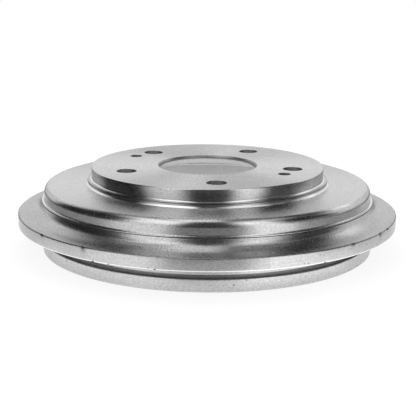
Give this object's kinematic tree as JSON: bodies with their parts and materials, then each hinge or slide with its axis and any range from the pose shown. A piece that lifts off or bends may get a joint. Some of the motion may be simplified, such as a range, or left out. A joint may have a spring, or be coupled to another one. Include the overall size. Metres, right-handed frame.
{
  "type": "brake drum",
  "caption": "One-piece cast-iron brake drum: raised hat with hub bore and stud holes, sloped web, flared outer flange and an open rim with the friction surface inside.",
  "frame": {"origin": "on the drum's axis, in the plane of the open rim that it stands on", "axes": "+Z along the drum's axis, from the open rim towards the hat; -Y points at the first stud hole, +X to its right"},
  "size_m": [0.2508, 0.2508, 0.054],
  "materials": {
    "cast_iron": "bare machined iron with turning marks and open pores"
  },
  "bodies": {
    "root": {"brake_drum": "cast_iron"}
  },
  "joints": []
}
